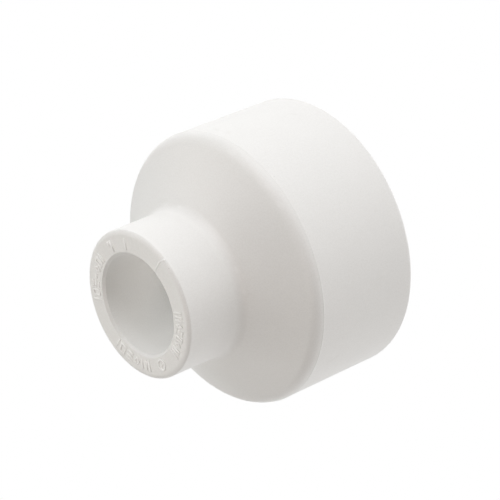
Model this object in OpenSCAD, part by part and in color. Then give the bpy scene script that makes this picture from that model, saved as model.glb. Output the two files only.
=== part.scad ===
// Concentric reducer for socket-fusion pipe. It is one moulding: a small socket, a sloping
// shoulder and a large socket on one axis, with raised moulding marks on the small end face.
// Millimetres. Z is the axis. The large mouth stands on Z = 0, and the small end is at the top.

/* [Small socket] */
// Bore of the small socket
small_bore_d = 19.3; // [15:0.1:24]
// Depth of the small socket, from its end face to its stop
small_bore_depth = 14.5; // [11:0.1:18]
// Wall round the small socket
small_wall = 4.65; // [4:0.05:6.5]
// How far below the neck the stop of the small socket lies
neck_above_stop = 2; // [0.5:0.1:3]
// Radius of the rounding round the small end face
small_edge_r = 1.15; // [0.8:0.05:2]
// How far in from the small barrel that rounding starts. It meets the barrel at a clear edge
small_edge_w = 1; // [0.5:0.05:1.1]

/* [Large socket] */
// Bore of the large socket
large_bore_d = 38.9; // [34:0.1:48]
// Depth of the large socket, from its mouth to its stop
large_bore_depth = 20.5; // [16:0.1:26]
// Wall round the large socket, at the parting line
large_wall = 7.05; // [5:0.05:9]
// How far above the stop of the large socket the shoulder's corner lies
shoulder_above_stop = 3.65; // [2.5:0.05:5]
// Rounding of the outer edge of the large mouth
large_edge_r = 0.8; // [0.3:0.1:1.5]

/* [Shoulder] */
// Length of the waterway between the two stops
waterway_l = 9; // [7:0.1:12]
// Rounding between the shoulder and the large barrel
shoulder_r = 3.4; // [1:0.1:4]
// Rounding between the shoulder and the small barrel
neck_r = 2.4; // [0.6:0.1:3]

/* [Mould] */
// How far above the stop of the large socket the parting line lies
parting_above_stop = 1.95; // [0.5:0.05:2.4]
// Draft of the large barrel from the parting line to the mouth, in degrees
barrel_draft = 0.4; // [0:0.05:1.5]
// Lean of the large barrel from the parting line to the shoulder, in degrees
shoulder_draft = 10.5; // [1:0.5:12]
// Lead-in chamfer at each mouth
lead_in = 0.5; // [0.3:0.1:1]
// Width of the stop at the bottom of the small socket
small_stop_w = 2.65; // [1.5:0.05:3.5]
// Width of the stop at the bottom of the large socket
large_stop_w = 3.95; // [2:0.05:5]

/* [Moulding marks] */
// How far the marks stand out of the end face
mark_h = 0.17; // [0.05:0.01:0.3]
// Gap between the flat face's inner edge and the long bars
mark_gap = 0.4; // [0.15:0.05:0.5]
// Width of a line in a mark
mark_line = 0.36; // [0.2:0.01:0.4]
// Length of the long bars and of the panels' end bars, measured outwards from the bore
mark_l = 2.3; // [1.6:0.1:2.6]
// Height of the small signs, measured outwards from the bore
sign_l = 2; // [1.2:0.1:2.2]
// Share of its place in a panel that a sign fills, measured round the face
sign_share = 0.76; // [0.5:0.01:0.8]
// Gap between the end bar of a panel and the place of the sign next to it
panel_margin = 0.45; // [0.2:0.05:0.8]
// Width of the witness line of the mould
witness_w = 0.22; // [0.1:0.01:0.3]
// Direction of the witness line of the mould
witness_at = 39.5; // [30:0.5:50]
// Outer diameter of the ring mark
ring_d = 2.3; // [1.8:0.1:2.6]
// Direction of the ring mark
ring_at = 283.5; // [278:0.5:290]
// Share of the room inside the ring mark that its dot takes
ring_dot_share = 0.32; // [0.2:0.01:0.6]

/* [Hidden] */
$fn = 96;

white_plastic = [0.95, 0.95, 0.94];
mark_white = [0.86, 0.88, 0.92];

// Heights along the axis
large_stop_z = large_bore_depth;
small_stop_z = large_stop_z + waterway_l;
total_l = small_stop_z + small_bore_depth;
parting_z = large_stop_z + parting_above_stop;
corner_z = large_stop_z + shoulder_above_stop;
neck_z = small_stop_z + neck_above_stop;

// Radii
small_bore_r = small_bore_d / 2;
large_bore_r = large_bore_d / 2;
small_r = small_bore_r + small_wall;
large_r = large_bore_r + large_wall;
mouth_r = large_r - parting_z * tan(barrel_draft);
corner_r = large_r - (corner_z - parting_z) * tan(shoulder_draft);

// The rounding round the small end face
edge_w = min(small_edge_w, small_edge_r);
edge_drop = small_edge_r - sqrt(small_edge_r * small_edge_r - edge_w * edge_w);

// The flat ring of the small end, and the band on it that the marks take
face_in_r = small_bore_r + lead_in;
face_out_r = small_r - edge_w;
bar_l = min(mark_l, face_out_r - face_in_r - 2 * mark_gap);
band_r = face_in_r + mark_gap + bar_l / 2;
panel_sign_l = min(sign_l, bar_l * 0.9);
ring_mark_d = min(ring_d, bar_l);

// Panels of the small end face: the directions of their two ends
left_panel = [129, 174.5];
lower_panel = [219.5, 264.5];
right_panel = [309, 354];

// Directions of the two long index bars, and of the short bar beside the second
index_at = [84, 105.5];
short_index_at = 109;
short_index_share = 0.4;

overlap = 1;

function unit(v) = v / norm(v);

// The piece of material between a corner and an arc of radius r that is tangent to both of its
// edges. along_a and along_b point from the corner down the two edges. Taken away it rounds an
// outer corner, and added it fills an inner one.
module corner_fill(corner, along_a, along_b, r) {
    a = unit(along_a);
    b = unit(along_b);
    half = acos(a * b) / 2;
    middle = unit(a + b);
    centre = corner + middle * r / sin(half);
    reach = r / tan(half);
    difference() {
        polygon([corner - middle * overlap / 2, corner + a * reach, centre, corner + b * reach]);
        translate(centre) circle(r = r);
    }
}

// The material outside the rounding of the small end face. The arc leaves the face smoothly and
// runs out at the barrel before it is upright.
module small_edge() {
    difference() {
        translate([small_r - edge_w, total_l - edge_drop])
            square([edge_w + overlap, edge_drop + overlap]);
        translate([small_r - edge_w, total_l - small_edge_r]) circle(r = small_edge_r);
    }
}

// Corners of the half section, as [radius, height]
mouth = [mouth_r, 0];
parting = [large_r, parting_z];
corner = [corner_r, corner_z];
neck = [small_r, neck_z];
tip = [small_r, total_l];

module outer_section() {
    difference() {
        union() {
            polygon([[0, 0], mouth, parting, corner, neck, tip, [0, total_l]]);
            corner_fill(neck, corner - neck, tip - neck, neck_r);
        }
        corner_fill(mouth, [-1, 0], parting - mouth, large_edge_r);
        corner_fill(corner, parting - corner, neck - corner, shoulder_r);
        small_edge();
    }
}

module waterway_section() {
    polygon([
        [0, -overlap],
        [large_bore_r + lead_in + overlap, -overlap],
        [large_bore_r, lead_in],
        [large_bore_r, large_stop_z],
        [large_bore_r - large_stop_w, large_stop_z],
        [small_bore_r - small_stop_w, small_stop_z],
        [small_bore_r, small_stop_z],
        [small_bore_r, total_l - lead_in],
        [small_bore_r + lead_in + overlap, total_l + overlap],
        [0, total_l + overlap]
    ]);
}

module reducer_body() {
    color(white_plastic) rotate_extrude() difference() {
        outer_section();
        waterway_section();
    }
}

// Places its children on the small end face at a direction and a distance from the axis, with
// their Y axis pointing outwards, and raises them to the height of the marks.
module raised(angle, r = band_r) {
    translate([0, 0, total_l]) rotate(angle - 90) translate([0, r, 0])
        linear_extrude(mark_h) children();
}

module bar(angle, length, r = band_r) {
    raised(angle, r) square([mark_line, length], center = true);
}

// The small signs are plain shapes. Each fills a box of width w and height l.
module frame_sign(w, l) {
    difference() {
        square([w, l], center = true);
        square([w - 2 * mark_line, l - 2 * mark_line], center = true);
    }
}

module rungs_sign(w, l) {
    for (step = [-1:1]) {
        translate([0, step * (l - mark_line) / 2]) square([w, mark_line], center = true);
    }
}

module pair_sign(w, l) {
    for (side = [-1, 1]) {
        translate([side * (w - mark_line) / 2, 0]) square([mark_line, l], center = true);
    }
}

module lozenge(w, l) {
    polygon([[-w / 2, 0], [0, -l / 2], [w / 2, 0], [0, l / 2]]);
}

// The inner outline is drawn in by the width of a line, measured square to the sides
module lozenge_sign(w, l) {
    share = 1 - 2 * mark_line * norm([w, l]) / (w * l);
    difference() {
        lozenge(w, l);
        if (share > 0) lozenge(w * share, l * share);
    }
}

module dash_sign(w, l) {
    square([w * 0.7, mark_line * 1.3], center = true);
}

module sign(kind, w, l) {
    if (kind == "frame") frame_sign(w, l);
    if (kind == "rungs") rungs_sign(w, l);
    if (kind == "pair") pair_sign(w, l);
    if (kind == "lozenge") lozenge_sign(w, l);
    if (kind == "dash") dash_sign(w, l);
}

// Signs spread evenly over a panel, in the order of the list
module panel_signs(panel, kinds) {
    mm_per_degree = band_r * PI / 180;
    margin = panel_margin / mm_per_degree;
    pitch = (panel[1] - panel[0] - 2 * margin) / len(kinds);
    for (i = [0:len(kinds) - 1]) {
        raised(panel[0] + margin + pitch * (i + 0.5))
            sign(kinds[i], sign_share * pitch * mm_per_degree, panel_sign_l);
    }
}

module panel_ends(panel) {
    for (angle = panel) bar(angle, bar_l);
}

// A thin rib that runs across the flat ring and on over the rounded edge
module mould_witness_line() {
    color(mark_white) rotate(witness_at) intersection() {
        rotate_extrude() difference() {
            translate([mark_h, mark_h]) outer_section();
            outer_section();
        }
        translate([face_in_r, -witness_w / 2, total_l - edge_drop])
            cube([small_wall, witness_w, edge_drop + mark_h]);
    }
}

module index_bars() {
    color(mark_white) {
        for (angle = index_at) bar(angle, bar_l);
        short_l = bar_l * short_index_share;
        bar(short_index_at, short_l, band_r + (bar_l - short_l) / 2);
    }
}

module left_panel_ends() {
    color(mark_white) panel_ends(left_panel);
}

module left_panel_signs() {
    color(mark_white)
        panel_signs(left_panel, ["frame", "lozenge", "dash", "rungs", "frame"]);
}

module lower_panel_ends() {
    color(mark_white) panel_ends(lower_panel);
}

module lower_panel_signs() {
    color(mark_white) panel_signs(lower_panel, ["frame", "rungs", "lozenge", "pair"]);
}

module ring_mark() {
    color(mark_white) raised(ring_at) difference() {
        circle(d = ring_mark_d);
        circle(d = ring_mark_d - 2 * mark_line);
    }
}

module ring_mark_dot() {
    color(mark_white) raised(ring_at)
        circle(d = (ring_mark_d - 2 * mark_line) * ring_dot_share);
}

module right_panel_ends() {
    color(mark_white) panel_ends(right_panel);
}

module right_panel_signs() {
    color(mark_white) panel_signs(right_panel,
        ["pair", "lozenge", "frame", "rungs", "lozenge", "pair"]);
}

reducer_body();
mould_witness_line();
index_bars();
left_panel_ends();
left_panel_signs();
lower_panel_ends();
lower_panel_signs();
ring_mark();
ring_mark_dot();
right_panel_ends();
right_panel_signs();
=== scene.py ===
"""A concentric reducer for socket-fusion pipe: one white polypropylene moulding with raised
moulding marks on its small end face. Everything rides on the CAD body "root"."""

import math
from collections import namedtuple

import bmesh
import bpy
from mathutils import Matrix, Quaternion, Vector, noise


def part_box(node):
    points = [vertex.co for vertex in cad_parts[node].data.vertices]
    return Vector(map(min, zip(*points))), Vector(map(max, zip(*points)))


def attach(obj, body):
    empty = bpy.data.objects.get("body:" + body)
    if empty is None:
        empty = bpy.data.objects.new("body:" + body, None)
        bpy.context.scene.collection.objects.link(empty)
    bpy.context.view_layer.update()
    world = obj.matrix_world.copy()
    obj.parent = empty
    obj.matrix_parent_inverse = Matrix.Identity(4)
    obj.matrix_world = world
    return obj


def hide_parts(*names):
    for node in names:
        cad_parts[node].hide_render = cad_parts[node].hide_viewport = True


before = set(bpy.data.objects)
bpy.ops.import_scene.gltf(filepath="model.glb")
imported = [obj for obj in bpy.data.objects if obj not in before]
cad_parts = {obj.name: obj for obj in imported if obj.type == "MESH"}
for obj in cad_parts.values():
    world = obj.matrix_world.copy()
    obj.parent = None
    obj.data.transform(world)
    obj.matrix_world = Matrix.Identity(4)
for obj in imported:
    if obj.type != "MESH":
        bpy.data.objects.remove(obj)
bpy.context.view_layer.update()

MM = 0.001
ORIGIN = Vector((0, 0, 0))


# ---------------------------------------------------------------- sizes, in millimetres

_, body_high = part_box("reducer_body")
LENGTH = body_high.z / MM
LARGE_R = body_high.x / MM
SMALL_BORE_R = 9.65
LARGE_BORE_R = 19.45
SMALL_R = 14.3
LARGE_STOP_Z = 20.5
SMALL_STOP_Z = LENGTH - 14.5
PARTING_Z = LARGE_STOP_Z + 1.95
SHOULDER_Z = LARGE_STOP_Z + 3.65
NECK_Z = SMALL_STOP_Z + 2
THROAT_R = SMALL_BORE_R - 2.65
CONE_R = LARGE_BORE_R - 3.95
LEAD_IN = 0.5
BARREL_DRAFT = math.radians(0.4)
SHOULDER_DRAFT = math.radians(10.5)
LEAD_IN_ROUND = 0.12
STOP_ROOT_ROUND = 0.4
STOP_LIP_ROUND = 0.5
MOUTH_ROUND = 0.8
MARK_HEIGHT = 0.17
MARK_LINE = 0.36


# ---------------------------------------------------------------- lathed shapes

Corner = namedtuple("Corner", "r z round_r skin", defaults=(0, "outside"))

ON_AXIS = 1e-6
LONGEST_SPAN = 1.5
EASE = 0.12
TURN_STEP = math.radians(4)


def straight_stations(start, end):
    """Points from start to end, both left out, with one close to each end so that a flat
    stays flat right up to the rounding next to it."""
    length = (end - start).length
    if length < 3 * EASE:
        return []
    spans = max(1, math.ceil((length - 2 * EASE) / LONGEST_SPAN))
    places = [EASE + (length - 2 * EASE) * k / spans for k in range(spans + 1)]
    return [start.lerp(end, place / length) for place in places]


def arc_stations(before, corner, after, round_r):
    """Points of the arc that rounds a corner, both tangent points included."""
    if round_r == 0:
        return [corner]
    back, ahead = (before - corner).normalized(), (after - corner).normalized()
    half = back.angle(ahead) / 2
    centre = corner + (back + ahead).normalized() * (round_r / math.sin(half))
    first = corner + back * (round_r / math.tan(half)) - centre
    last = corner + ahead * (round_r / math.tan(half)) - centre
    turn = first.angle_signed(last)
    steps = max(3, math.ceil(abs(turn) / TURN_STEP))
    return [centre + Matrix.Rotation(-turn * k / steps, 2) @ first for k in range(steps + 1)]


def rounded_section(corners):
    """Stations (r, z, skin) of a closed section. A corner's skin is that of the wall that
    leads up to it."""
    flat = [Vector((c.r, c.z)) for c in corners]
    count = len(corners)
    arcs = [arc_stations(flat[k - 1], flat[k], flat[(k + 1) % count], corners[k].round_r)
            for k in range(count)]
    stations = []
    for k, corner in enumerate(corners):
        walls = straight_stations(arcs[k - 1][-1], arcs[k][0])
        stations += [(p.x, p.y, corner.skin) for p in walls + arcs[k]]
    return stations


def new_piece(name, bm, materials):
    """A mesh object made from bm, smooth shaded, with its materials."""
    bmesh.ops.recalc_face_normals(bm, faces=bm.faces)
    mesh = bpy.data.meshes.new(name)
    bm.to_mesh(mesh)
    bm.free()
    for material in materials:
        mesh.materials.append(material)
    mesh.shade_smooth()
    piece = bpy.data.objects.new(name, mesh)
    bpy.context.scene.collection.objects.link(piece)
    return piece


def lathe(bm, stations, segments, centre=ORIGIN, skins=("outside",), swell=None):
    """Turns a closed section round an upright axis. swell(angle, r, z) is added to a radius."""
    rings = []
    for r, z, _ in stations:
        if r < ON_AXIS:
            rings.append([bm.verts.new((centre + Vector((0, 0, z))) * MM)] * segments)
            continue
        ring = []
        for k in range(segments):
            angle = math.tau * k / segments
            out = r + (swell(angle, r, z) if swell else 0)
            point = centre + Vector((out * math.cos(angle), out * math.sin(angle), z))
            ring.append(bm.verts.new(point * MM))
        rings.append(ring)
    for k, upper in enumerate(rings):
        lower = rings[k - 1]
        for j in range(segments):
            i = (j + 1) % segments
            corners = []
            for vert in (lower[j], lower[i], upper[i], upper[j]):
                if vert not in corners:
                    corners.append(vert)
            if len(corners) > 2:
                bm.faces.new(corners).material_index = skins.index(stations[k][2])


# ---------------------------------------------------------------- the moulding

BODY_SEGMENTS = 288
BEAD_HALF_WIDTH = 0.15
BEAD_HEIGHT = 0.035
BEAD_STEPS = 8
BEAD_LUMPS_PER_TURN = 9
BEAD_LOWEST = 0.5
EDGE_ROUND = 1.15
EDGE_WIDTH = 1.0
EDGE_STEPS = 14
SHOULDER_ROUND = 3.4
NECK_ROUND = 2.4


def outer_radius(z):
    """Radius of the large barrel below and above its parting line, without the bead."""
    draft = BARREL_DRAFT if z < PARTING_Z else SHOULDER_DRAFT
    return LARGE_R - BEAD_HEIGHT - abs(z - PARTING_Z) * math.tan(draft)


def parting_bead(angle, r, z):
    """How far the flash at the parting line stands out. It is a little uneven all round."""
    across = (z - PARTING_Z) / BEAD_HALF_WIDTH
    if abs(across) >= 1 or r < SMALL_R:
        return 0
    spot = Vector((math.cos(angle), math.sin(angle), 0)) * BEAD_LUMPS_PER_TURN
    lump = max(-1, min(1, 1.6 * noise.noise(spot)))
    uneven = (1 + BEAD_LOWEST + (1 - BEAD_LOWEST) * lump) / 2
    return BEAD_HEIGHT * uneven * (1 - across * across) ** 2


def small_end_rounding():
    """The rounding of the small end face, from the barrel inwards. It leaves the face smoothly
    and meets the barrel at an edge."""
    steepest = math.asin(EDGE_WIDTH / EDGE_ROUND)
    leans = [steepest * k / EDGE_STEPS for k in range(EDGE_STEPS, -1, -1)]
    return [Corner(SMALL_R - EDGE_WIDTH + EDGE_ROUND * math.sin(lean),
                   LENGTH - EDGE_ROUND * (1 - math.cos(lean))) for lean in leans]


def body_section():
    """The section of the moulding, from the large mouth up the outside and down the bore."""
    bead = [PARTING_Z + BEAD_HALF_WIDTH * k / BEAD_STEPS
            for k in range(-BEAD_STEPS, BEAD_STEPS + 1)]
    return rounded_section([
        Corner(outer_radius(0), 0, MOUTH_ROUND),
        *[Corner(outer_radius(z), z) for z in bead],
        Corner(outer_radius(SHOULDER_Z), SHOULDER_Z, SHOULDER_ROUND),
        Corner(SMALL_R, NECK_Z, NECK_ROUND),
        *small_end_rounding(),
        Corner(SMALL_BORE_R + LEAD_IN, LENGTH, LEAD_IN_ROUND),
        Corner(SMALL_BORE_R, LENGTH - LEAD_IN, LEAD_IN_ROUND, "bore"),
        Corner(SMALL_BORE_R, SMALL_STOP_Z, STOP_ROOT_ROUND, "bore"),
        Corner(THROAT_R, SMALL_STOP_Z, STOP_LIP_ROUND, "bore"),
        Corner(CONE_R, LARGE_STOP_Z, STOP_LIP_ROUND, "bore"),
        Corner(LARGE_BORE_R, LARGE_STOP_Z, STOP_ROOT_ROUND, "bore"),
        Corner(LARGE_BORE_R, LEAD_IN, LEAD_IN_ROUND, "bore"),
        Corner(LARGE_BORE_R + LEAD_IN, 0, LEAD_IN_ROUND, "bore"),
    ])


def build_body(materials):
    """The whole moulding but for its marks."""
    bm = bmesh.new()
    lathe(bm, body_section(), BODY_SEGMENTS, skins=("outside", "bore"), swell=parting_bead)
    body = new_piece("Reducer_Moulding", bm, materials)
    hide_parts("reducer_body")
    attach(body, "root")


# ---------------------------------------------------------------- the moulding marks

MARK_ROUNDING = 0.15
MARK_ROUNDING_STEPS = 4
MARK_SINK = 0.03
WELD = 0.002
LEVEL = 0.01
BEAD_ARC_STEPS = 8
RING_SEGMENTS = 96
DOT_SEGMENTS = 48
WITNESS_WIDTH = 0.36
WITNESS_HEIGHT = 0.1
WITNESS_FACE_STEPS = 12
WITNESS_EDGE_STEPS = 8
WITNESS_LAST_LEAN = math.radians(52)
WITNESS_START_GAP = 0.05
WITNESS_BEND = 1.1
WITNESS_ANGLE = math.radians(39.5)
WITNESS_SHIFT = math.radians(-2)


def islands(bm):
    """The separate bodies in a mesh, each as a list of vertices."""
    left, found = set(bm.verts), []
    while left:
        reached, edge = set(), [left.pop()]
        while edge:
            vert = edge.pop()
            reached.add(vert)
            edge += [e.other_vert(vert) for e in vert.link_edges if e.other_vert(vert) in left]
            left.difference_update(edge)
        found.append(list(reached))
    return found


def soften_top(bm, verts, top):
    """Rounds the upper edge of one raised mark."""
    chosen = set(verts)
    rim = [e for e in bm.edges
           if e.verts[0] in chosen and len(e.link_faces) == 2
           and all(abs(v.co.z - top) < LEVEL * MM for v in e.verts)
           and e.calc_face_angle() > 0.5]
    bmesh.ops.bevel(bm, geom=rim, offset=MARK_ROUNDING * MM, segments=MARK_ROUNDING_STEPS,
                    profile=0.5, affect="EDGES", clamp_overlap=True)


def build_softened(name, node, material):
    """The marks of one CAD node, with their upper edges rounded and their feet let into the
    face."""
    bm = bmesh.new()
    bm.from_mesh(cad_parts[node].data)
    bmesh.ops.remove_doubles(bm, verts=bm.verts, dist=WELD * MM)
    bmesh.ops.dissolve_limit(bm, angle_limit=math.radians(1), verts=bm.verts, edges=bm.edges)
    heights = [v.co.z for v in bm.verts]
    top, foot = max(heights), min(heights)
    for verts in islands(bm):
        soften_top(bm, [v for v in verts if v.is_valid], top)
    for vert in bm.verts:
        if abs(vert.co.z - foot) < LEVEL * MM:
            vert.co.z -= MARK_SINK * MM
    piece = new_piece(name, bm, [material])
    piece.modifiers.new("Clean shading", "WEIGHTED_NORMAL").keep_sharp = True
    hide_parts(node)
    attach(piece, "root")


def ring_section(outer_r):
    """Stations of the ring's section: half round above the end face, with a sunk foot."""
    half, middle = MARK_LINE / 2, outer_r - MARK_LINE / 2
    arc = [math.pi * k / BEAD_ARC_STEPS for k in range(BEAD_ARC_STEPS + 1)]
    stations = [(middle + half * math.cos(t), MARK_HEIGHT * math.sin(t), "outside") for t in arc]
    return stations + [(middle - half, -MARK_SINK, "outside"),
                       (middle + half, -MARK_SINK, "outside")]


def dome_section(outer_r):
    """Stations of the dot's section: a low dome on the axis, with a sunk foot."""
    arc = [math.pi / 2 * k / BEAD_ARC_STEPS for k in range(BEAD_ARC_STEPS)]
    stations = [(outer_r * math.cos(t), MARK_HEIGHT * math.sin(t), "outside") for t in arc]
    return stations + [(0, MARK_HEIGHT, "outside"), (0, -MARK_SINK, "outside"),
                       (outer_r, -MARK_SINK, "outside")]


def round_mark(node):
    """The middle of a round mark's foot, and its outer radius."""
    low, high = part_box(node)
    middle = Vector(((low.x + high.x) / 2, (low.y + high.y) / 2, low.z)) / MM
    return middle, (high.x - low.x) / 2 / MM


def build_ring(material):
    """The plain ring mark."""
    centre, outer_r = round_mark("ring_mark")
    bm = bmesh.new()
    lathe(bm, ring_section(outer_r), RING_SEGMENTS, centre)
    ring = new_piece("Ring_Mark", bm, [material])
    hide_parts("ring_mark")
    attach(ring, "root")


def build_dot(material):
    """The dot inside the ring mark."""
    centre, outer_r = round_mark("ring_mark_dot")
    bm = bmesh.new()
    lathe(bm, dome_section(outer_r), DOT_SEGMENTS, centre)
    dot = new_piece("Ring_Mark_Dot", bm, [material])
    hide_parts("ring_mark_dot")
    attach(dot, "root")


def witness_path():
    """Points (r, z, outward normal) along the small end face and over its rounded edge."""
    start, flat_end = SMALL_BORE_R + LEAD_IN + WITNESS_START_GAP, SMALL_R - EDGE_WIDTH
    points = [(start + (flat_end - start) * k / WITNESS_FACE_STEPS, LENGTH, Vector((0, 1)))
              for k in range(WITNESS_FACE_STEPS + 1)]
    for k in range(1, WITNESS_EDGE_STEPS + 1):
        lean = WITNESS_LAST_LEAN * k / WITNESS_EDGE_STEPS
        points.append((flat_end + EDGE_ROUND * math.sin(lean),
                       LENGTH - EDGE_ROUND * (1 - math.cos(lean)),
                       Vector((math.sin(lean), math.cos(lean)))))
    return points


def build_witness_line(material):
    """A low rib where two halves of the mould's end plate meet."""
    bm = bmesh.new()
    path = witness_path()
    steps = BEAD_ARC_STEPS
    rows = []
    for k, (r, z, out) in enumerate(path):
        over_edge = max(0, (r - (SMALL_R - WITNESS_BEND)) / WITNESS_BEND)
        angle = WITNESS_ANGLE + WITNESS_SHIFT * min(1, over_edge)
        radial = Vector((math.cos(angle), math.sin(angle), 0))
        across = Vector((-math.sin(angle), math.cos(angle), 0))
        normal = radial * out.x + Vector((0, 0, out.y))
        fade = min(1, (k + 0.4) / 1.5, (len(path) - k) / 3)
        row = []
        for j in range(steps + 1):
            t = math.pi * j / steps
            lift = WITNESS_HEIGHT * fade * math.sin(t) - (MARK_SINK if j in (0, steps) else 0)
            point = radial * r + Vector((0, 0, z)) + across * (WITNESS_WIDTH / 2 * math.cos(t))
            row.append(bm.verts.new((point + normal * lift) * MM))
        rows.append(row)
    for lower, upper in zip(rows, rows[1:]):
        for j in range(steps):
            bm.faces.new((lower[j], lower[j + 1], upper[j + 1], upper[j]))
        bm.faces.new((lower[steps], lower[0], upper[0], upper[steps]))
    bm.faces.new(rows[0])
    bm.faces.new(rows[-1])
    line = new_piece("Mould_Witness_Line", bm, [material])
    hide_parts("mould_witness_line")
    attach(line, "root")


# ---------------------------------------------------------------- materials

def add(tree, kind, settings=None, inputs=None):
    """A new node, with its settings and its inputs by name or number. An input is a value, or
    another node's output."""
    made = tree.nodes.new(kind)
    for name, value in (settings or {}).items():
        setattr(made, name, value)
    for name, value in (inputs or {}).items():
        if isinstance(value, bpy.types.NodeSocket):
            tree.links.new(value, made.inputs[name])
        else:
            made.inputs[name].default_value = value
    return made


def calc(tree, operation, *values):
    """The result of a Math node."""
    settings = {"operation": operation}
    return add(tree, "ShaderNodeMath", settings, dict(enumerate(values))).outputs[0]


def remap(tree, value, low, high, to_low=0.0, to_high=1.0):
    """A value moved from one range to another, and held inside it."""
    return add(tree, "ShaderNodeMapRange", None, {
        "Value": value, "From Min": low, "From Max": high,
        "To Min": to_low, "To Max": to_high}).outputs["Result"]


def new_group(name, inputs, outputs):
    """An empty node group with its sockets. Returns the tree, its inputs and its output node."""
    tree = bpy.data.node_groups.new(name, "ShaderNodeTree")
    for socket, (kind, value) in inputs.items():
        made = tree.interface.new_socket(socket, in_out="INPUT", socket_type=kind)
        if value is not None:
            made.default_value = value
    for socket, kind in outputs.items():
        tree.interface.new_socket(socket, in_out="OUTPUT", socket_type=kind)
    taken = tree.nodes.new("NodeGroupInput").outputs
    given = tree.nodes.new("NodeGroupOutput").inputs
    return tree, taken, given


NUMBER, COLOUR, PLACE = "NodeSocketFloat", "NodeSocketColor", "NodeSocketVector"


def grain_group():
    """Fine grain of a moulded plastic skin: a height, and a value that varies the gloss."""
    tree, taken, given = new_group("Moulded Grain", {
        "Place": (PLACE, None), "Grains per mm": (NUMBER, 3.0), "Peel per mm": (NUMBER, 0.25),
        "Peel Share": (NUMBER, 0.5)}, {"Height": NUMBER, "Gloss Drift": NUMBER})
    fine = add(tree, "ShaderNodeTexNoise", None, {
        "Vector": taken["Place"], "Scale": taken["Grains per mm"], "Detail": 3.0,
        "Roughness": 0.55})
    peel = add(tree, "ShaderNodeTexNoise", None, {
        "Vector": taken["Place"], "Scale": taken["Peel per mm"], "Detail": 2.0,
        "Roughness": 0.45})
    broad = calc(tree, "MULTIPLY", peel.outputs["Fac"], taken["Peel Share"])
    tree.links.new(calc(tree, "ADD", fine.outputs["Fac"], broad), given["Height"])
    mixed = calc(tree, "ADD", calc(tree, "MULTIPLY", fine.outputs["Fac"], 0.4),
                 calc(tree, "MULTIPLY", peel.outputs["Fac"], 0.6))
    tree.links.new(mixed, given["Gloss Drift"])
    return tree


def drift_group():
    """Slow changes of tone where the melt flowed and cooled unevenly."""
    tree, taken, given = new_group("Resin Tone Drift", {
        "Place": (PLACE, None), "Size per mm": (NUMBER, 0.12), "Mottle per mm": (NUMBER, 3.6),
        "Mottle Share": (NUMBER, 0.75), "Bright": (COLOUR, None), "Dull": (COLOUR, None)},
        {"Color": COLOUR})
    cloud = add(tree, "ShaderNodeTexNoise", None, {
        "Vector": taken["Place"], "Scale": taken["Size per mm"], "Detail": 4.0,
        "Roughness": 0.6, "Distortion": 0.4})
    mottle = add(tree, "ShaderNodeTexNoise", None, {
        "Vector": taken["Place"], "Scale": taken["Mottle per mm"], "Detail": 2.0,
        "Roughness": 0.7})
    share = add(tree, "ShaderNodeMix", {"data_type": "FLOAT"}, {
        0: taken["Mottle Share"], 2: remap(tree, cloud.outputs["Fac"], 0.3, 0.72),
        3: remap(tree, mottle.outputs["Fac"], 0.38, 0.62)}).outputs[0]
    mixed = add(tree, "ShaderNodeMix", {"data_type": "RGBA"}, {
        0: share, 6: taken["Bright"], 7: taken["Dull"]})
    tree.links.new(mixed.outputs[2], given["Color"])
    return tree


def specks_group():
    """Scattered specks of dark dust in the resin, as a mask."""
    tree, taken, given = new_group("Resin Specks", {
        "Place": (PLACE, None), "Cells per mm": (NUMBER, 0.5), "Speck Share": (NUMBER, 0.1),
        "Speck Width": (NUMBER, 0.07)}, {"Mask": NUMBER})
    cells = add(tree, "ShaderNodeTexVoronoi", {"voronoi_dimensions": "3D"}, {
        "Vector": taken["Place"], "Scale": taken["Cells per mm"]})
    pick = add(tree, "ShaderNodeSeparateColor", None, {"Color": cells.outputs["Color"]})
    chosen = calc(tree, "LESS_THAN", pick.outputs[0], taken["Speck Share"])
    width = calc(tree, "MULTIPLY", taken["Speck Width"],
                 calc(tree, "ADD", calc(tree, "MULTIPLY", pick.outputs[1], 0.8), 0.4))
    near = calc(tree, "SUBTRACT", 1.0, calc(tree, "DIVIDE", cells.outputs["Distance"], width))
    tree.links.new(calc(tree, "MULTIPLY", chosen, remap(tree, near, 0.0, 0.6)), given["Mask"])
    return tree


def scuff_group():
    """Short faint handling scuffs and smudges, as a mask."""
    tree, taken, given = new_group("Handling Scuffs", {
        "Place": (PLACE, None), "Size per mm": (NUMBER, 0.35), "Amount": (NUMBER, 0.5)},
        {"Mask": NUMBER})
    stretched = add(tree, "ShaderNodeMapping", None, {
        "Vector": taken["Place"], "Rotation": (0.6, 0.3, 0.9), "Scale": (0.35, 1.6, 1.0)})
    streaks = add(tree, "ShaderNodeTexNoise", None, {
        "Vector": stretched.outputs[0], "Scale": taken["Size per mm"], "Detail": 5.0,
        "Roughness": 0.65, "Distortion": 0.8})
    patches = add(tree, "ShaderNodeTexNoise", None, {
        "Vector": taken["Place"], "Scale": 0.09, "Detail": 1.0})
    streak = remap(tree, streaks.outputs["Fac"], 0.6, 0.75)
    patch = remap(tree, patches.outputs["Fac"], 0.48, 0.62)
    both = calc(tree, "MULTIPLY", calc(tree, "MULTIPLY", streak, patch), taken["Amount"])
    tree.links.new(both, given["Mask"])
    return tree


def edge_group():
    """Painted highlight and added gloss on the outer edges and painted shade in the creases, from
    how sharply the skin bends.
    """
    tree, taken, given = new_group("Painted Edge Highlight And Crease Shade", {
        "Strength": (NUMBER, 1.0)}, {"Edge Gloss And Painted Highlight": NUMBER, "Painted Crease Shade": NUMBER})
    bend = add(tree, "ShaderNodeNewGeometry").outputs["Pointiness"]
    tree.links.new(calc(tree, "MULTIPLY", remap(tree, bend, 0.503, 0.53), taken["Strength"]),
                   given["Edge Gloss And Painted Highlight"])
    tree.links.new(calc(tree, "MULTIPLY", remap(tree, bend, 0.497, 0.47), taken["Strength"]),
                   given["Painted Crease Shade"])
    return tree


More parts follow.
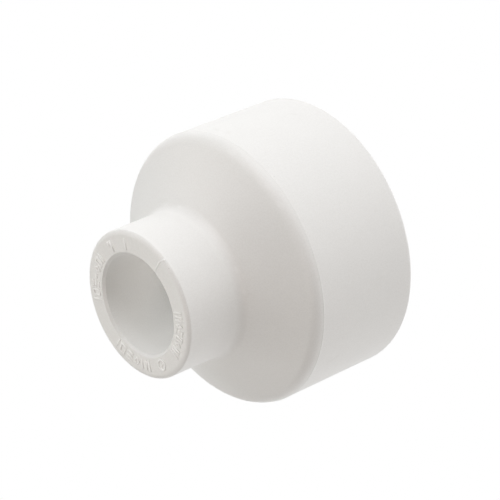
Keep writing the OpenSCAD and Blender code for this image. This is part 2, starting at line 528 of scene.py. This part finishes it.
GRAIN, DRIFT, SPECKS, SCUFFS, EDGES = (
    grain_group(), drift_group(), specks_group(), scuff_group(), edge_group())


def use_group(tree, group, inputs):
    """The outputs of one of the shared groups, placed in a material."""
    made = tree.nodes.new("ShaderNodeGroup")
    made.node_tree = group
    for name, value in inputs.items():
        if isinstance(value, bpy.types.NodeSocket):
            tree.links.new(value, made.inputs[name])
        else:
            made.inputs[name].default_value = value
    return made.outputs


def tinted(tree, colour, mask, tint):
    """The colour moved towards a tint where the mask is high."""
    mix = add(tree, "ShaderNodeMix", {"data_type": "RGBA"}, {0: mask, 6: colour, 7: tint})
    return mix.outputs[2]


def plastic(name, bright, dull, rough, grain_depth, speck_share, scuffs, grains=3.0, peel=0.5,
            rings=0.0, edge_highlight_share=0.2):
    """White polypropylene. rings is the depth, in millimetres, of the fine turned rings that a
    core pin leaves in a bore. The last argument sets how far painted highlight lightens the
    outer edges."""
    material = bpy.data.materials.new(name)
    material.use_nodes = True
    tree = material.node_tree
    shader = tree.nodes["Principled BSDF"]
    where = add(tree, "ShaderNodeTexCoord").outputs["Object"]
    place_mm = add(tree, "ShaderNodeVectorMath", {"operation": "SCALE"}, {
        0: where, "Scale": 1 / MM}).outputs[0]

    grain = use_group(tree, GRAIN, {"Place": place_mm, "Grains per mm": grains, "Peel Share": peel})
    colour = use_group(tree, DRIFT, {"Place": place_mm, "Bright": bright, "Dull": dull})["Color"]
    # Painted highlight on the outer edges, which also get more gloss, and painted shade in the
    # creases.
    edge_gloss_and_shade = use_group(tree, EDGES, {"Strength": 1.0})
    scuff = use_group(tree, SCUFFS, {"Place": place_mm, "Amount": scuffs})["Mask"]
    speck = use_group(tree, SPECKS, {"Place": place_mm, "Speck Share": speck_share})["Mask"]

    # Painted shade: the colour darkens in the creases, where shade falls.
    colour = tinted(tree, colour, calc(tree, "MULTIPLY", edge_gloss_and_shade["Painted Crease Shade"], CREASE_SHADE_SHARE), CREASE_SHADE_COLOUR)
    # Painted highlight: the colour lightens on the outer edges. The same mask also lowers their
    # roughness below.
    colour = tinted(tree, colour, calc(tree, "MULTIPLY", edge_gloss_and_shade["Edge Gloss And Painted Highlight"], edge_highlight_share), EDGE_HIGHLIGHT_COLOUR)
    colour = tinted(tree, colour, calc(tree, "MULTIPLY", scuff, SCUFF_SHARE), SCUFF)
    colour = tinted(tree, colour, calc(tree, "MULTIPLY", speck, SPECK_SHARE), SPECK)
    tree.links.new(colour, shader.inputs["Base Color"])

    gloss = remap(tree, grain["Gloss Drift"], 0.3, 0.7, rough - GLOSS_DRIFT, rough + GLOSS_DRIFT)
    gloss = calc(tree, "SUBTRACT", gloss, calc(tree, "MULTIPLY", edge_gloss_and_shade["Edge Gloss And Painted Highlight"], POLISH_GLOSS))
    gloss = calc(tree, "ADD", gloss, calc(tree, "MULTIPLY", scuff, SCUFF_DULLNESS))
    tree.links.new(gloss, shader.inputs["Roughness"])

    height = calc(tree, "MULTIPLY", grain["Height"], grain_depth)
    if rings:
        upright = add(tree, "ShaderNodeSeparateXYZ", None, {"Vector": place_mm}).outputs["Z"]
        wander = add(tree, "ShaderNodeTexNoise", None, {
            "Vector": place_mm, "Scale": 0.2, "Detail": 2.0}).outputs["Fac"]
        shifted = calc(tree, "ADD", upright, calc(tree, "MULTIPLY", wander, RING_WANDER))
        turned = calc(tree, "SINE", calc(tree, "MULTIPLY", shifted, math.tau / RING_PITCH))
        height = calc(tree, "ADD", height, calc(tree, "MULTIPLY", turned, rings))
    bump = add(tree, "ShaderNodeBump", None, {"Height": height, "Distance": MM, "Strength": 1.0})
    tree.links.new(bump.outputs["Normal"], shader.inputs["Normal"])

    shader.inputs["IOR"].default_value = POLYPROPYLENE_IOR
    return material


POLYPROPYLENE_IOR = 1.49
RING_PITCH = 0.55
RING_WANDER = 0.3
GLOSS_DRIFT = 0.05
POLISH_GLOSS = 0.08
SCUFF_DULLNESS = 0.12
# How far painted shade darkens the colour in the creases:
CREASE_SHADE_SHARE = 0.25
SCUFF_SHARE = 0.35
SPECK_SHARE = 0.55
# Colour of the painted shade in the creases:
CREASE_SHADE_COLOUR = (0.62, 0.6, 0.57, 1)
# Colour of the painted highlight on the outer edges:
EDGE_HIGHLIGHT_COLOUR = (0.97, 0.97, 0.96, 1)
SCUFF = (0.7, 0.68, 0.65, 1)
SPECK = (0.4, 0.38, 0.35, 1)

outside_skin = plastic("White Polypropylene", (0.873, 0.868, 0.852, 1), (0.827, 0.821, 0.803, 1),
                       rough=0.48, grain_depth=0.0035, speck_share=0.07, scuffs=0.6)
# Painted light: the bore is the body's resin painted a little lighter, so that the deep bore reads
# brighter.
bore_skin = plastic("White Polypropylene Bore Painted Lighter", (0.895, 0.893, 0.88, 1), (0.855, 0.853, 0.84, 1),
                    rough=0.4, grain_depth=0.002, speck_share=0.04, scuffs=0.3, rings=0.0015)
# Painted highlight: the marks are the body's resin, painted lighter and with more painted edge
# highlight.
mark_skin = plastic("White Polypropylene Marks Painted Lighter", (0.96, 0.955, 0.942, 1), (0.93, 0.924, 0.91, 1),
                    rough=0.44, grain_depth=0.002, speck_share=0.02, scuffs=0.3, grains=4.0,
                    edge_highlight_share=0.5)


# ---------------------------------------------------------------- the pieces

build_body([outside_skin, bore_skin])
for piece_name, cad_node in (
        ("Index_Bars", "index_bars"),
        ("Left_Panel_Ends", "left_panel_ends"),
        ("Left_Panel_Signs", "left_panel_signs"),
        ("Lower_Panel_Ends", "lower_panel_ends"),
        ("Lower_Panel_Signs", "lower_panel_signs"),
        ("Right_Panel_Ends", "right_panel_ends"),
        ("Right_Panel_Signs", "right_panel_signs")):
    build_softened(piece_name, cad_node, mark_skin)
build_witness_line(mark_skin)
build_ring(mark_skin)
build_dot(mark_skin)


# ---------------------------------------------------------------- floor, lights and camera

FLOOR_HALF = 4.0
FLOOR_GAP = 0.0002
FLOOR_GLOW = 1.14
FLOOR_CELLS = 8
PAPER_LIGHT = (0.97, 0.97, 0.97, 1)
PAPER_DARK = (0.93, 0.93, 0.93, 1)
WHITE = (1, 1, 1, 1)
SOFTBOX_SIZE = 0.35
SOFTBOX_DISTANCE = 0.6
CAMERA_AZIMUTH = math.radians(104.1)
CAMERA_ELEVATION = math.radians(36.16)
CAMERA_ROLL = math.radians(112.74)
CAMERA_AIM = Vector((2.47, 2.03, 18.02)) * MM
CAMERA_DISTANCE = 550 * MM
CAMERA_SENSOR = 36
CAMERA_LENS = 213.45


def studio_surface(name, glow):
    """Plain pale paper. Seen directly it is clean white, and what it throws on the part is
    soft. From below it isn't seen."""
    material = bpy.data.materials.new(name)
    material.use_nodes = True
    tree = material.node_tree
    tree.nodes.clear()
    seen = add(tree, "ShaderNodeLightPath").outputs["Is Camera Ray"]
    behind = add(tree, "ShaderNodeNewGeometry").outputs["Backfacing"]
    where = add(tree, "ShaderNodeTexCoord").outputs["Object"]
    fibre = add(tree, "ShaderNodeTexNoise", None, {"Vector": where, "Scale": 60.0, "Detail": 4.0})
    paper = add(tree, "ShaderNodeMix", {"data_type": "RGBA"}, {
        0: fibre.outputs["Fac"], 6: PAPER_DARK, 7: PAPER_LIGHT}).outputs[2]
    white = add(tree, "ShaderNodeEmission", None, {"Color": WHITE, "Strength": 1.0})
    soft = add(tree, "ShaderNodeEmission", None, {"Color": paper, "Strength": glow})
    shown = add(tree, "ShaderNodeMixShader", None, {
        0: seen, 1: soft.outputs[0], 2: white.outputs[0]})
    clear = add(tree, "ShaderNodeBsdfTransparent")
    hidden = calc(tree, "MULTIPLY", seen, behind)
    both = add(tree, "ShaderNodeMixShader", None, {
        0: hidden, 1: shown.outputs[0], 2: clear.outputs[0]})
    out = add(tree, "ShaderNodeOutputMaterial")
    tree.links.new(both.outputs[0], out.inputs["Surface"])
    return material


def build_floor():
    """The sheet of paper that the part stands on, just under it."""
    bm = bmesh.new()
    bmesh.ops.create_grid(bm, x_segments=FLOOR_CELLS, y_segments=FLOOR_CELLS, size=FLOOR_HALF)
    for vert in bm.verts:
        vert.co.z = -FLOOR_GAP
    mesh = bpy.data.meshes.new("Studio_Floor")
    bm.to_mesh(mesh)
    bm.free()
    mesh.materials.append(studio_surface("Studio Paper", FLOOR_GLOW))
    floor = bpy.data.objects.new("Studio_Floor", mesh)
    bpy.context.scene.collection.objects.link(floor)


def build_room():
    """Plain white where the camera sees it. It gives no light of its own."""
    world = bpy.data.worlds.new("Studio_Room")
    bpy.context.scene.world = world
    world.use_nodes = True
    tree = world.node_tree
    tree.nodes.clear()
    seen = add(tree, "ShaderNodeLightPath").outputs["Is Camera Ray"]
    white = add(tree, "ShaderNodeBackground", None, {"Color": WHITE, "Strength": 1.0})
    unlit = add(tree, "ShaderNodeBackground", None, {"Color": WHITE, "Strength": 0.0})
    mixed = add(tree, "ShaderNodeMixShader", None, {
        0: seen, 1: unlit.outputs[0], 2: white.outputs[0]})
    out = add(tree, "ShaderNodeOutputWorld")
    tree.links.new(mixed.outputs[0], out.inputs["Surface"])


def softbox(name, direction, power, colour=(1, 1, 1)):
    """A square softbox that points at the middle of the part."""
    middle = Vector((0, 0, LENGTH / 2 * MM))
    away = Vector(direction).normalized()
    light = bpy.data.lights.new(name, "AREA")
    light.shape = "SQUARE"
    light.size = SOFTBOX_SIZE
    light.energy = power
    light.color = colour
    lamp = bpy.data.objects.new(name, light)
    lamp.location = middle + away * SOFTBOX_DISTANCE
    lamp.rotation_mode = "QUATERNION"
    lamp.rotation_quaternion = (-away).to_track_quat("-Z", "Y")
    lamp.visible_camera = False
    bpy.context.scene.collection.objects.link(lamp)


def build_camera():
    """A long lens from above and in front of the small end, turned on its side."""
    back = Vector((math.sin(CAMERA_AZIMUTH) * math.cos(CAMERA_ELEVATION),
                   -math.cos(CAMERA_AZIMUTH) * math.cos(CAMERA_ELEVATION),
                   math.sin(CAMERA_ELEVATION)))
    data = bpy.data.cameras.new("Camera")
    data.sensor_width = CAMERA_SENSOR
    data.lens = CAMERA_LENS
    data.clip_start = 0.05
    data.clip_end = 20
    camera = bpy.data.objects.new("Camera", data)
    camera.location = CAMERA_AIM + back * CAMERA_DISTANCE
    camera.rotation_mode = "QUATERNION"
    upright = (-back).to_track_quat("-Z", "Y")
    camera.rotation_quaternion = Quaternion(back, -CAMERA_ROLL) @ upright
    bpy.context.scene.collection.objects.link(camera)
    bpy.context.scene.camera = camera


build_floor()
build_room()
softbox("Overhead_Softbox", (0.36, 0.93, 0), 1.41, (0.98, 0.97, 1))
softbox("Overhead_Forward_Softbox", (0.27, 0.86, 0.43), 0.72, (1, 0.98, 0.94))
softbox("High_Back_Softbox", (-0.19, 0.71, 0.68), 0.69)
softbox("Top_Softbox", (0.34, 0.45, 0.82), 0.37)
softbox("Left_Softbox", (-0.62, -0.11, 0.77), 0.72, (1, 0.985, 0.92))
softbox("Back_Left_Softbox", (-0.79, 0.32, 0.52), 0.37)
softbox("Table_Bounce", (-0.36, -0.69, 0.62), 0.89, (0.98, 0.99, 1))
softbox("Warm_Fill", (0.58, -0.37, 0.73), 0.7, (1, 0.87, 0.77))
build_camera()
bpy.context.scene.view_settings.view_transform = "Standard"
